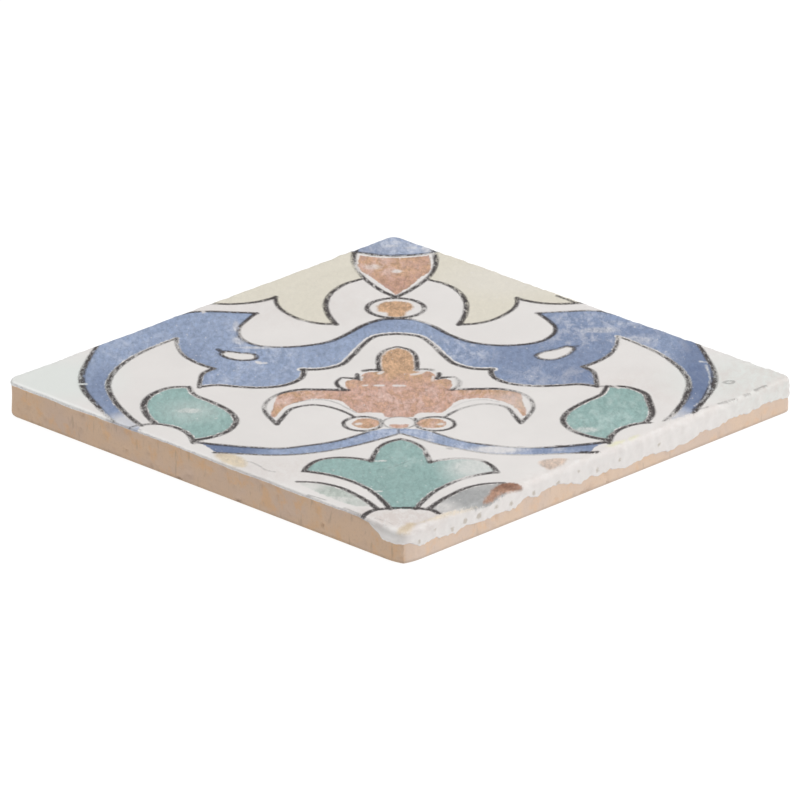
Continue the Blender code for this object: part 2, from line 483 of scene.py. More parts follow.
def green_field(spots):
    drop = chain("drop_back", [(-86.9, -42)], STROKES["drop_foot"].points[2:], "drop_belly")
    tulip = both_halves(chain("bud", "leaflet_top", "leaflet_foot", [(0, -121)]))
    return np.minimum(painted(spots, pair(drop), "drop_back", "drop_foot", "drop_belly"),
                      painted(spots, [tulip], "bud", "leaflet_top", "leaflet_foot"))


def terracotta_field(spots):
    shield = chain(
        smooth_line([(-12.8, 121.2), (-6, 119.3), (0, 118.8), (7, 119.3), (12.8, 121)]),
        smooth_line([(13, 120.6), (13.4, 112), (12.6, 104), (9.6, 99.4), (7.4, 94), (4, 87.6),
                     (0.2, 81.4)]),
        smooth_line([(-0.2, 81.4), (-2.6, 87), (-5, 91.4), (-7.2, 96), (-9.8, 100.6), (-12.6, 105.6),
                     (-13.6, 113), (-12.9, 121)]))
    left = chain(
        [(0, 9), (-5.8, 7.2)],
        smooth_line([(-6.2, 6.6), (-8.4, 6.2), (-10.6, 6.4), (-12.8, 4.4), (-13.4, 1), (-13.2, -1.8)]),
        smooth_line([(-13.6, -1.4), (-16.5, -0.8), (-18.8, -2), (-19.4, -5), (-18.9, -8.5),
                     (-17.8, -11)]),
        smooth_line([(-21, -11.2), (-31, -10.9), (-38, -12), (-43.2, -15), (-44.2, -19.6), (-44.8, -25),
                     (-45.8, -31), (-45.8, -36)]),
        smooth_line([(-44.4, -37), (-43, -32), (-41.4, -28), (-39, -24.2), (-35.6, -21.6),
                     (-31.4, -19.2), (-26, -19.2), (-21.4, -20.8), (-19.2, -24.4), (-17.4, -28.6),
                     (-15.2, -32), (-13, -33.6)]),
        smooth_line([(-13, -33.6), (-6, -33.4), (-5, -36.2), (0, -36)]))
    palmette = both_halves(left)
    pearls = [oval(-12.2, -42.2, 4.9, 4.7), oval(11.2, -42.3, 5.3, 4.8),
              smooth_line([(-3.8, -43.4), (-0.4, -43.2), (3.2, -43.6), (2.2, -46.2), (-0.6, -47),
                           (-3.2, -46)], closed=True)]
    return union(spots, [shield, palmette, *pearls])


def ochre_field(spots):
    bead = smooth_line([(-1, 75.4), (4, 74.6), (6.4, 71), (5.8, 67), (3.8, 64.4), (3, 60.4),
                        (0, 59.2), (-3, 60.4), (-3.8, 64), (-6.3, 64.7), (-7.1, 67.8),
                        (-6.4, 72), (-4.2, 74.6)], closed=True)
    lobe = both_halves(chain("lobe", [(-5, 5.5), (0, 4)]))
    return np.minimum(signed_distance(spots, bead), painted(spots, [lobe], "lobe"))


def cream_field(spots):
    crown = smooth_line(STROKES["crown_side"].points[:4])
    hood = chain(crown, "hood_inner", "hood_lower", "hood_outer",
                 [(-90, 80), (-60, 110), (-20, 140)])
    return union(spots, pair(hood))


def slate_field(spots):
    wash = chain("blade", [(-10, -123), (-20, -126), (-38, -104)])
    return painted(spots, [right_hand(wash)], "blade")


def sage_field(spots):
    wash = chain("blade", [(-12.1, -118.6), (-16.3, -118.4), (-22.3, -113.8), (-28.3, -107.4),
                           (-35, -99.5)])
    return painted(spots, [wash], "blade")


def ink_field(spots):
    fields = []
    for stroke in STROKES.values():
        for line in pair(smooth_line(stroke.points)):
            fields.append(stroke_field(spots, line, stroke.width))
    for points, width in LOOPS.values():
        fields.append(stroke_field(spots, smooth_line(points, closed=True), width))
    for *ring, width in RINGS.values():
        fields.append(stroke_field(spots, oval(*ring), width))
    return np.minimum.reduce([*fields, line_field(spots, TICKS)])


# Soft patches by what they do: place, half-widths in mm and strength
SOFT_PATCHES = {
    # Paint rubbed thin or never laid
    "rubbed": [(34, -67, 9, 3.5, 0.8), (25, -83, 9, 9, 0.5), (13, 126.4, 3.6, 4, 0.6),
        (-57, 38, 3, 5, 0.6), (-50, 30.5, 9, 1.6, 0.6), (66, -49, 5, 3, 0.6),
        (-75, -30, 4.6, 2.6, 0.62), (97, -38, 6, 5, 0.5), (-26, -112, 8, 3, 0.6),
        (-8, 109.6, 3.6, 3, 0.6), (0.6, 105, 2, 2, 0.8), (-1, 130.4, 3.4, 1.6, 0.5),
        (6, 128.4, 3, 1.4, 0.5), (8, -58, 5, 2, 0.5), (-46, -25, 1.4, 5, 0.2), (-58.5, 51, 1.3, 6, 0.6),
        (47, -24, 2.0, 8, 0.9), (20, -33, 3, 4, 0.5), (86, 36, 8, 4, 0.5), (74, 46, 7, 3, 0.55),
        (56, -67, 3, 2, 0.5), (14, -119.5, 3, 3.4, 0.5)],
    # Paint thinned to an even, softly ending veil
    "thinned": [(40, 96, 18, 14, 0.3), (30, -84, 12, 14, 0.7), (-97, -40, 6, 7, 0.8),
        (98, -36, 6, 6, 0.5), (14, -119, 5, 5, 0.6), (-34, -100, 6, 4, 0.8), (-14, -117, 4, 4, 0.4),
        (-21, -112, 9, 2.4, 0.3), (41, -22, 8, 8, 0.35), (-74, -30, 9, 9, 0.22), (0, 130, 12, 7, 0.15)],
    # Ink worn to dots
    "ink_rubbed": [(22, -75.5, 11, 2.5, 1.0), (20, -92, 7, 4, 0.8), (-33.6, 55.3, 1.8, 1.6, 0.9),
        (21, -5, 3, 7, 0.9), (10, 8, 4, 2, 0.7), (40, -65, 10, 2.5, 1.0), (43, -71.6, 17, 2.4, 1.1),
        (24, -67.5, 20, 4, 0.85), (-40, -68, 30, 6, 0.3), (-57, 40, 5, 14, 0.5), (-50, 31, 8, 3, 0.5),
        (98, -40, 6, 6, 0.8), (-96, -45, 4, 3, 0.7), (-14.5, 107, 3, 6, 1.0), (-15, 119, 3, 6, 0.3),
        (0, 122, 14, 3, 0.55), (15, 124, 4, 4, 0.7), (45, -20, 7, 16, 0.65), (26, -26, 12, 5, 0.8),
        (-47, -22, 4, 10, 0.6), (78, 39, 4, 4, 0.6), (92, 30, 10, 12, 0.5), (57, 23, 8, 7, 0.5),
        (-57, 24, 5, 4, 0.4), (64, 64, 12, 3, 0.5), (10, 64, 2.5, 4, 0.6), (9, 54.5, 6, 4, 0.9),
        (62, -47, 7, 5, 0.4), (30, 62, 5, 8, 0.3), (14, 34, 7, 9, 0.4), (15, -58, 12, 5, 0.5),
        (-90, 28, 9, 12, 0.4), (0, -42, 9, 9, 0.5), (-90, 0, 40, 60, 0.14), (0, 95, 44, 40, 0.1),
        (113, 5, 4, 12, 0.45), (104, -5, 3, 16, 0.4), (-6, 30, 6, 5, 0.4), (-78, 30, 3, 8, 0.4),
        (-104, -36, 4, 8, 0.8)],
    # Where white clouds and streaks break the paint
    "clouded": [(72, 48, 18, 16, 1.0), (24, 26, 9, 13, 0.95), (54, 2, 16, 10, 0.7),
        (60, 38, 14, 10, 0.7), (94, 30, 9, 14, 0.6), (74, -33, 14, 18, 0.7), (-48, 20, 12, 12, 0.7),
        (-56, 48, 6, 10, 0.5), (-62, 2, 12, 8, 0.5), (-95, 30, 14, 16, 0.4), (0, 130, 12, 8, 1.0),
        (0, -50, 18, 8, 0.9), (30, -66, 24, 6, 0.9), (-6, 108, 8, 10, 0.7), (30, -18, 16, 10, 0.9),
        (-36, -17, 12, 8, 0.8), (2, -20, 18, 12, 0.8), (-28, -108, 14, 8, 0.8), (3, -80, 7, 8, 0.5),
        (-70, -34, 10, 8, 0.4)],
    # Where the paint pooled darker
    "pooled": [(64, 4, 12, 10, 0.8), (60, 22, 34, 40, 0.6), (108, 10, 8, 40, 0.85),
        (44, 16, 14, 8, 0.6), (76, 24, 7, 18, 0.6), (107, -6, 6, 24, 1.25), (-107, -8, 5, 18, 0.55),
        (-102, -22, 3, 12, 0.6), (-76, 12, 6, 18, 0.4), (92, 46, 14, 8, 0.6), (-66, -66, 14, 5, 1.5),
        (68, -64, 10, 4, 0.7), (50, -67, 6, 3, 0.5), (0, -95, 12, 18, 0.35), (68, -22, 9, 12, 0.4),
        (86, -20, 4, 12, 0.4), (-10, 54, 10, 6, 0.35), (-8, 126, 5, 4, 0.6), (35, -99, 8, 3, 0.9),
        (52, -84, 3, 3, 0.4), (1, -135, 4, 4, 1.0), (0, 92, 5, 8, 0.5)],
    # Where the iron-red turns to ochre
    "warmed": [(-42, -28, 5, 8, 0.5), (43, -28, 5, 8, 0.5), (-35, -15, 9, 3, 0.4),
        (33, -13, 11, 3, 0.55), (0, 3, 13, 5, 0.6), (16, -4, 3, 4, 0.75), (-17, -4, 3, 4, 0.6),
        (9, 1, 5, 6, 0.45), (0, 112, 15, 12, 0.4), (0, 90, 5, 9, 0.15), (-12, -42, 6, 6, 0.4),
        (11, -42, 6, 6, 0.6)],
    # Where the white glaze has dulled
    "dulled": [(0, -128, 11, 6, 0.9), (-16, -126, 8, 5, 0.5), (-35, -85, 24, 10, 0.35),
        (85, -12, 14, 18, 0.25), (-45, 72, 40, 20, 0.2), (126, -2, 18, 16, 0.35)],
    # Painted sheen: the white tinted cool and pale at the far left and right corners
    "pale": [(124, -2, 22, 18, 1.0), (-122, 0, 18, 18, 1.0)],
}


# How far out a patch is gone, in half-widths. It is whole up to one half-width before that
PATCH_EDGE = 1.6


def soft_patches(spots, patches):
    field = np.zeros(len(spots))
    for u, v, across, along, strength in patches:
        away = np.hypot((spots[:, 0] - u) / across, (spots[:, 1] - v) / along)
        field = np.maximum(field, strength * np.clip(PATCH_EDGE - away, 0, 1))
    return field


# How far the two sides bow in before they meet in an edge at the front corner, as a share of the
# corner's radius, and how far along that radius they meet
FRONT_BOW = 0.2
FRONT_MEET = (math.sqrt(1 + 4 * FRONT_BOW) - 1) / (2 * FRONT_BOW)

# How far the front corner's face is worn down, and how far in from the corner, in mm
FRONT_WEAR = 1.8
FRONT_WEAR_REACH = 20.0

# Where white glaze was daubed over the paint along the -Y edge: X, then the Y where it starts
WHITE_DAUB = [
    (-100, -90), (-92, -93.5), (-85, -95.5), (-79, -97.8), (-68, -99.6), (-60, -101.4), (-54, -100.8),
    (-47, -99.8), (-36, -99.2), (-20, -97.4), (-8, -98.2), (1, -98), (9, -96.4), (18, -96), (26, -94),
    (34, -93.8), (41, -96.5), (52, -98), (70, -99.8), (100, -99.8),
]

# Pinholes that burst in that white: X, how far below the face, and radius, in mm
PINHOLES = [
    (-92.8, 3.7, 0.8), (-76.1, 4.5, 0.8), (-69.6, 3.2, 1.0), (-62.5, 3.5, 1.2), (-53.9, 2.7, 0.8),
    (-46.3, 3.7, 0.8), (-34.6, 3.2, 0.8), (-22.4, 3.0, 0.9), (-2.3, 4.1, 0.8), (9.0, 3.3, 0.6),
    (29.7, 3.6, 0.6), (-85, 1.9, 0.5), (-12, 1.6, 0.5),
]


def daub_field(spots):
    """Below 0 where the daubed white covers the paint. Spots are X and Y, unrolled, in mm."""
    start = np.interp(spots[:, 0], *np.array(WHITE_DAUB, float).T)
    return np.clip(spots[:, 1] - start, -REACH, REACH)


def pinhole_field(spots):
    fields = [signed_distance(spots, oval(x, -HALF_SIDE - below, radius, radius, 16))
              for x, below, radius in PINHOLES]
    return np.minimum.reduce(fields)


def line_field(spots, lines):
    return np.minimum.reduce([
        stroke_field(spots, smooth_line(points), width) for points, width in lines])


PAINTED_FIELDS = {
    "cream": cream_field, "blue": blue_field, "green": green_field, "terracotta": terracotta_field,
    "ochre": ochre_field, "slate": slate_field, "sage": sage_field, "ink": ink_field,
}

# How far the glaze runs down below the face: place along the edge, then depth in mm.
# Each edge is walked anticlockwise seen from above, from 0 at its start to 200 at its end.
GLAZE_DEPTH = {
    "-y": [(1, 4.4), (4, 5.8), (9, 7.0), (14, 6.3), (21, 7.0), (25, 7.4), (30, 6.4), (36, 7.2),
        (46, 6.6), (52, 7.3), (56, 6.7), (60, 4.4), (66, 6.4), (69, 5.1), (77, 4.5), (83, 6.0),
        (89, 7.4), (95, 6.4), (98, 8.0), (104, 6.6), (113, 9.0), (119, 8.0), (123, 6.8), (131, 8.0),
        (136, 9.0), (142, 8.4), (149, 8.4), (152, 6.0), (158, 7.3), (162, 7.5), (167, 6.3), (175, 6.4),
        (181, 6.2), (187, 5.9), (193, 6.0), (199, 6.6)],
    "+x": [(6, 7.7), (20, 5.3), (38, 6.5), (60, 4.1), (85, 4.9), (108, 3.3), (130, 5.5), (155, 3.9),
        (178, 4.7), (196, 3.5)],
    "+y": [(8, 2.9), (30, 4.3), (52, 2.7), (78, 3.7), (100, 2.1), (126, 3.3), (150, 1.9), (175, 2.7),
        (194, 1.9)],
    "-x": [(4, 0.5), (14, 0.7), (23, 0.5), (31, 0.9), (42, 0.4), (50, 0.5), (66, 0.3), (84, 0.2),
        (95, 0.3), (106, 0.5), (114, 0.8), (123, 0.8), (133, 0.4), (140, 0.7), (150, 0.6), (160, 0.5),
        (172, 0.3), (179, 0.4), (184.5, 1.0), (189, 3.2), (192.2, 5.4), (195.5, 5.4), (199, 4.6)],
}
EDGE_START = {"-y": 0, "+x": 200, "+y": 400, "-x": 600}

# The clay's upper edge is rounded most at the front right: place round the rim in mm, share of
# the face arris radius
ARRIS_SHARE = [(6, 1.0), (150, 1.0), (192, 0.5), (208, 0.4), (592, 0.4), (606, 0.18), (774, 0.18),
               (788, 1.0)]

# How far the face sinks towards the -Y edge: place round the rim and drop, in mm
SHOULDER_DROP = [(0, 0.5), (150, 0.6), (190, 0.1), (600, 0.0), (794, 0.3)]
SHOULDER_REACH = 8.0

# The face's slow waves as they show along the rim: place round the rim and lift, in mm
RIM_LIFT = [(20, 0.0), (100, 0.0), (185, 0.15), (205, 0.3), (224, 0.15), (259, 0.3), (284, -0.1),
            (309, 0.2), (326, 0.0), (360, 0.3), (392, 0.2), (408, 0.25), (440, 0.2), (487, 0.0),
            (513, 0.3), (540, 0.1), (564, 0.3), (575, 0.0), (592, 0.2), (620, 0.1), (780, 0.0)]

# Noises in the shapes, each layer by its size in mm, its seed and its height in mm
RAGGED_EDGE = [(1.6, 3.0, 0.9), (5.0, 9.0, 0.5)]
SLOW_WAVES = [(28.0, 1.0, 1.3), (9.0, 5.0, 0.5)]
RIM_RIPPLE = [(4.0, 7.0, 0.1)]
LUMPS = [(3.2, 2.0, 1.0), (1.4, 4.0, 0.5)]
DRAG_MARKS = [(2.6, 11.0, 0.14)]
PRESS_MARKS = [(9.0, 6.0, 0.2)]
PITS = [(2.4, 13.0, 1.0)]
BACK_GRIT = [(6.0, 8.0, 0.35)]

# The glaze in mm: its least depth and thickness, how far in from the rim its lip is measured and
# what stands for further, the band where the rim's own waves show, how far the lip sinks into the
# clay, and how the hidden rows under the lip tuck in to a floor below the face
LEAST_DEPTH, LEAST_COAT = 0.15, 0.22
LIP_SEEN, LIP_FAR, RIM_BAND, LIP_SINK = 30, 99, 9, 0.05
TUCK, UNDER, FLOOR_DEPTH = 0.6, 0.8, 0.5

# The share of the glaze's thickness that ran off the wall, and how the rows crowd to the lip
WALL_THINNING, ROW_CROWDING = 0.3, 1.35

# By the depth in mm that the glaze runs down: how ragged its edge is, the lip's width in mm and the
# share of the lumps. The lumps begin on the face, in mm before its rim.
RAGGED_BY_DEPTH = (1.2, 6), (0.2, 1)
LIP_WIDTH = (0.8, 2.5, 6), (0.3, 0.45, 0.9)
LUMPS_BY_DEPTH = (1.5, 6), (0.12, 1)
LUMPS_BEGIN, LUMPS_RISE = 1.5, 3

# The clay: rows round each arris, how the drag marks stretch upwards, what makes a pit and how
# deep it is, and how far in mm the wall may stand proud
BACK_ROWS, FACE_ROWS = 3, 4
DRAG_SQUASH, PIT_LEVEL, PIT_DEPTH, MOST_PROUD = 0.4, 0.36, 1.6, 0.05

# Strengths by place: the darker band over the -Y arris by Y, the painted light that lifts the
# shaded -X side by Y and where it begins, all in unrolled mm, and the white mist on the clay by the
# place round the rim
FRONT_ARRIS_DARKENING = (-101, -99, -94), (0.16, 0.38, 0)
PAINTED_RIM_LIGHT_BY_Y = (-20, 80), (0.15, 0.8)
PAINTED_RIM_LIGHT_FROM, PAINTED_RIM_LIGHT_FADE = -98.2, 1.4
MIST = (0, 0.6, 196, 212, 400), (0.1, 1, 1, 0.5, 0)

# The glaze's map: the margin in mm that the unrolled sides need, and the corner for the underside
UNROLLED_MARGIN = 13
HIDDEN_START, HIDDEN_SIZE = 0.005, 0.015


def rounded_square(x, y, half, corner_radius):
    """Points of a square grid in mm moved onto a square with rounded corners, and each point's
    outward direction at the rim."""
    out_x, out_y = np.zeros_like(x), np.zeros_like(y)
    new_x, new_y = x.copy(), y.copy()
    on_x = np.abs(x) >= half - 1e-4
    on_y = np.abs(y) >= half - 1e-4
    out_x[on_x] = np.sign(x[on_x])
    out_y[on_y & ~on_x] = np.sign(y[on_y & ~on_x])
    for (side_x, side_y), radius in corner_radius.items():
        a = x * side_x - (half - radius)
        b = y * side_y - (half - radius)
        here = (a > 0) & (b > 0)
        a, b = a[here], b[here]
        if (side_x, side_y) == (-1, -1):
            a, b, lean_a, lean_b = bowed_corner(a, b)
        else:
            lean_a, lean_b = a / np.hypot(a, b), b / np.hypot(a, b)
            a, b = lean_a * np.maximum(a, b), lean_b * np.maximum(a, b)
        new_x[here], new_y[here] = side_x * (half - radius + a), side_y * (half - radius + b)
        out_x[here], out_y[here] = side_x * lean_a, side_y * lean_b
    return new_x, new_y, out_x, out_y


def bowed_corner(a, b):
    """Points of a square corner moved onto two bowed sides that meet in an edge, and the
    directions outwards there."""
    size = np.maximum(a, b)
    along = np.minimum(a, b) / size * FRONT_MEET
    bowed = 1 - FRONT_BOW * along ** 2
    lean = 2 * FRONT_BOW * along / np.hypot(1, 2 * FRONT_BOW * along)
    straight = 1 / np.hypot(1, 2 * FRONT_BOW * along)
    on_a, edge = a > b, np.abs(a - b) < 1e-6
    new_a = size * np.where(on_a, bowed, along)
    new_b = size * np.where(on_a, along, bowed)
    lean_a = np.where(edge, math.sqrt(0.5), np.where(on_a, straight, lean))
    lean_b = np.where(edge, math.sqrt(0.5), np.where(on_a, lean, straight))
    return new_a, new_b, lean_a, lean_b


def rim_place(x, y):
    """How far round the rim the nearest rim point of a square grid is, from 0 to 800 mm,
    anticlockwise from the front corner."""
    scale = HALF_SIDE / np.maximum(np.maximum(np.abs(x), np.abs(y)), 1e-6)
    x, y = x * scale, y * scale
    edge = HALF_SIDE - 1e-4
    sides = [y <= -edge, x >= edge, y >= edge, x <= -edge]
    return np.select(sides, [EDGE_START["-y"] + HALF_SIDE + x, EDGE_START["+x"] + HALF_SIDE + y,
                             EDGE_START["+y"] + HALF_SIDE - x, EDGE_START["-x"] + HALF_SIDE - y])


def round_the_rim(place, knots):
    """Values given at places round the rim, read off at other places."""
    at, value = np.array(knots, float).T
    return np.interp(place, at, value, period=8 * HALF_SIDE)


def shoulder_drop(place, y):
    """How far the face has sunk at each place near the -Y edge, in mm."""
    near_edge = np.clip(-(y + HALF_SIDE - SHOULDER_REACH) / SHOULDER_REACH, 0, 1)
    return round_the_rim(place, SHOULDER_DROP) * near_edge ** 2


def worn_height(x, y):
    """The share of its height that each place keeps: the front corner is worn to a soft slope."""
    away = np.hypot(x + HALF_SIDE, y + HALF_SIDE)
    return 1 - FRONT_WEAR / THICKNESS * np.clip(1 - away / FRONT_WEAR_REACH, 0, 1) ** 1.5


def noise_at(points, size, seed):
    """Soft noise about -0.5 to 0.5 at points in mm, with features of the given size in mm."""
    shift = Vector((seed, seed * 1.7, seed * 0.6))
    return np.array([noise.noise(Vector(p) / size + shift) for p in points])


def noise_sum(points, layers):
    return sum(noise_at(points, size, seed) * height for size, seed, height in layers)


def clay_profile(run, arris, lead):
    """The body's section at its face edge, from arc length run past the flat: a straight lead and
    then a rounded arris. Gives the outward offset, the drop and the direction outwards and up."""
    bend = np.clip((run - lead) / arris, 0, math.pi / 2)
    wall = np.maximum(run - lead - arris * math.pi / 2, 0)
    offset = np.minimum(run, lead) + arris * np.sin(bend)
    return offset, arris * (1 - np.cos(bend)) + wall, np.sin(bend), np.cos(bend)


def deselect_all():
    bpy.ops.object.select_all(action="DESELECT")


def grid_with_skirt(name, half, cells, rows, upwards):
    """A square grid whose rim is extruded row by row, 1 mm a row, then closed by one face.
    The rows are moved to their place afterwards."""
    deselect_all()
    bpy.ops.mesh.primitive_grid_add(
        x_subdivisions=cells, y_subdivisions=cells, size=2 * half * MM, location=(0, 0, 0))
    piece = bpy.context.object
    piece.name = piece.data.name = name
    bpy.ops.object.mode_set(mode="EDIT")
    bpy.ops.mesh.select_all(action="SELECT")
    bpy.ops.mesh.region_to_loop()
    step = MM if upwards else -MM
    for _ in range(rows):
        bpy.ops.mesh.extrude_region_move(TRANSFORM_OT_translate={"value": (0, 0, step)})
    bpy.ops.mesh.edge_face_add()
    bpy.ops.mesh.select_all(action="SELECT")
    bpy.ops.mesh.normals_make_consistent(inside=False)
    bpy.ops.object.mode_set(mode="OBJECT")
    return piece


def read_points(piece):
    points = np.empty(len(piece.data.vertices) * 3)
    piece.data.vertices.foreach_get("co", points)
    return points.reshape(-1, 3) / MM


def write_points(piece, points):
    piece.data.vertices.foreach_set("co", (points * MM).astype(np.float32).ravel())
    piece.data.update()


def add_field(piece, name, values):
    layer = piece.data.attributes.new(name, "FLOAT", "POINT")
    layer.data.foreach_set("value", values.astype(np.float32))


def half_plan(arris):
    """Half the side of the flat inside an arris of the clay, in mm."""
    return HALF_SIDE - CLAY_INSET - arris / MM


def lay_out(piece, arris):
    """The row of each point of a piece, its place round the rim, the drop of the face there, its
    plan inside an arris of the clay with the directions outwards, and the face arris there."""
    flat = read_points(piece)
    x, y = flat[:, 0], flat[:, 1]
    radii = {corner: radius - CLAY_INSET - arris / MM for corner, radius in CORNER_RADIUS.items()}
    place = rim_place(x, y)
    face_arris = bpy.context.scene.tile_sizes.face_arris / MM * round_the_rim(place, ARRIS_SHARE)
    return (np.round(np.abs(flat[:, 2])).astype(int), place, shoulder_drop(place, y),
            rounded_square(x, y, half_plan(arris), radii), face_arris)


def shape_glaze(piece):
    """Wraps the glaze over the clay's face and rounded rim, down to its ragged lower edge."""
    sizes = bpy.context.scene.tile_sizes
    widest, coat, swell, grit = (v / MM for v in (
        sizes.face_arris, sizes.coat, sizes.swell, sizes.grit))
    row, place, shoulder, (plan_x, plan_y, out_x, out_y), arris = lay_out(piece, sizes.face_arris)
    skirt = row > 0
    lead = widest - arris
    rim = np.stack([plan_x, plan_y, np.zeros_like(plan_x)], axis=1)
    depth = round_the_rim(place, [(EDGE_START[name] + at, below)
                                  for name, depths in GLAZE_DEPTH.items() for at, below in depths])
    ragged = noise_sum(rim, RAGGED_EDGE) * np.interp(depth, *RAGGED_BY_DEPTH)
    depth = np.maximum(depth + ragged, LEAST_DEPTH)
    reach = lead + arris * np.arccos(np.clip(1 - depth / arris, 0, 1)) + np.maximum(depth - arris, 0)
    share = np.clip(row / GLAZE_ROWS, 0, 1)
    run = reach * (1 - (1 - share) ** ROW_CROWDING)
    offset, drop, lean_out, lean_up = clay_profile(run, arris, lead)
    inner = HALF_SIDE - np.maximum(np.abs(plan_x), np.abs(plan_y))
    left_to_go = np.where(skirt | (inner < LIP_SEEN), reach - run, LIP_FAR)
    lip = np.clip(left_to_go / np.interp(depth, *LIP_WIDTH), 0, 1)
    lip = np.where(row == 0, 1, np.sqrt(np.clip(1 - (1 - lip) ** 2, 0, 1)))
    surface = np.stack([plan_x + out_x * offset * skirt, plan_y + out_y * offset * skirt,
                        THICKNESS - coat - drop * skirt], axis=1)
    near_rim = np.clip(1 - inner / RIM_BAND, 0, 1)
    rim_wave = round_the_rim(place, RIM_LIFT) + noise_sum(surface, RIM_RIPPLE)
    wave = noise_sum(surface, SLOW_WAVES) * swell * (1 - near_rim) + rim_wave * near_rim
    gritty = np.clip((run + LUMPS_BEGIN) / LUMPS_RISE, 0, 1) * near_rim
    gritty *= np.interp(depth, *LUMPS_BY_DEPTH)
    lumps = noise_sum(surface, LUMPS) * gritty * grit
    laid = np.maximum(coat * (1 - WALL_THINNING * lean_out) + lumps, LEAST_COAT)
    thickness = laid * lip - LIP_SINK * (1 - lip)
    points = surface.copy()
    points[:, 0] += out_x * lean_out * thickness * skirt
    points[:, 1] += out_y * lean_out * thickness * skirt
    points[:, 2] += np.where(skirt, lean_up, 1) * (thickness + wave) - shoulder
    tuck, under = row == GLAZE_ROWS + 1, row == GLAZE_ROWS + 2
    floor = THICKNESS - coat - FLOOR_DEPTH
    points[tuck, 0] -= out_x[tuck] * TUCK
    points[tuck, 1] -= out_y[tuck] * TUCK
    points[tuck, 2] = np.minimum(points[tuck, 2], floor)
    points[under, 0] = plan_x[under] - out_x[under] * UNDER
    points[under, 1] = plan_y[under] - out_y[under] * UNDER
    points[under, 2] = floor
    points[:, 2] *= worn_height(plan_x, plan_y)
    write_points(piece, points)
    add_field(piece, "to_lip", np.where(skirt, left_to_go, reach + np.minimum(inner, LIP_SEEN)))
    return np.stack([plan_x + out_x * run, plan_y + out_y * run], axis=1)


def paint_glaze(piece, unrolled):
    """Keeps the distances to the outlines and the painted areas on the glaze's points."""
    spots = np.stack([unrolled[:, 0] - unrolled[:, 1], unrolled[:, 0] + unrolled[:, 1]], axis=1)
    spots /= DIAGONAL
    add_field(piece, "faint", line_field(spots, FAINT_LINES))
    add_field(piece, "flaw", line_field(spots, FLAWS))
    for name, field in PAINTED_FIELDS.items():
        add_field(piece, name, field(spots))
    for name, outlines in STAINS.items():
        shapes = [smooth_line(points, closed=True) for points in outlines]
        add_field(piece, name, union(spots, shapes))
    for name, patches in SOFT_PATCHES.items():
        add_field(piece, name, soft_patches(spots, patches))
    # Darker over the -Y arris and the face just inside it, most about 1 mm inside the edge
    add_field(piece, "soiled", np.interp(unrolled[:, 1], *FRONT_ARRIS_DARKENING))
    add_field(piece, "daub", daub_field(unrolled))
    # Painted light: the glaze along the shaded -X rim is lightened towards white, more towards the back
    beyond = np.clip((PAINTED_RIM_LIGHT_FROM - unrolled[:, 0]) / PAINTED_RIM_LIGHT_FADE, 0, 1)
    add_field(piece, "bright", np.interp(unrolled[:, 1], *PAINTED_RIM_LIGHT_BY_Y) * beyond)
    add_field(piece, "pinhole", pinhole_field(unrolled))


def unwrap_glaze(piece, unrolled):
    """A plan map that fills the square, with the hidden underside in one small corner."""
    spread = 0.5 + unrolled / (2 * (HALF_SIDE + UNROLLED_MARGIN))
    corners = np.empty(len(piece.data.loops), int)
    piece.data.loops.foreach_get("vertex_index", corners)
    layout = spread[corners]
    underside = max(piece.data.polygons, key=lambda face: face.loop_total)
    loops = np.arange(underside.loop_start, underside.loop_start + underside.loop_total)
    layout[loops] = HIDDEN_START + HIDDEN_SIZE * layout[loops]
    layer = piece.data.uv_layers.new(name="OFBake")
    layer.uv.foreach_set("vector", layout.astype(np.float32).ravel())


def shape_biscuit(piece):
    """Rounds the clay body's rims and gives its sides the drag marks and pits of pressing."""
    sizes = bpy.context.scene.tile_sizes
    back, top = sizes.back_arris / MM, THICKNESS - sizes.coat / MM
    row, place, shoulder, (plan_x, plan_y, out_x, out_y), arris = lay_out(piece, sizes.back_arris)
    wall_rows = BISCUIT_ROWS - BACK_ROWS - FACE_ROWS
    back_turn = np.clip(row / BACK_ROWS, 0, 1) * math.pi / 2
    face_turn = np.clip((row - BACK_ROWS - wall_rows) / FACE_ROWS, 0, 1) * math.pi / 2
    up_wall = np.clip((row - BACK_ROWS) / wall_rows, 0, 1)
    offset = back * np.sin(back_turn) - arris * (1 - np.cos(face_turn))
    height = back * (1 - np.cos(back_turn)) + (top - arris - back) * up_wall
    height += arris * np.sin(face_turn)
    points = np.stack([plan_x + out_x * offset, plan_y + out_y * offset, height], axis=1)
    wall = (row >= BACK_ROWS) & (row <= BACK_ROWS + wall_rows)
    drag = noise_sum(points * (1, 1, DRAG_SQUASH), DRAG_MARKS) + noise_sum(points, PRESS_MARKS)
    pits = np.clip(noise_sum(points, PITS) - PIT_LEVEL, 0, 1) * PIT_DEPTH
    dent = np.where(wall, np.minimum(drag - pits, MOST_PROUD), 0)
    points[:, 0] += out_x * dent
    points[:, 1] += out_y * dent
    points[:, 2] += np.where(row == 0, np.abs(noise_sum(points, BACK_GRIT)), 0)
    points[:, 2] -= shoulder * np.clip(height / top * 2 - 1, 0, 1)
    points[:, 2] *= worn_height(plan_x, plan_y)
    write_points(piece, points)
    add_field(piece, "misted", np.interp(place, *MIST))


# Materials

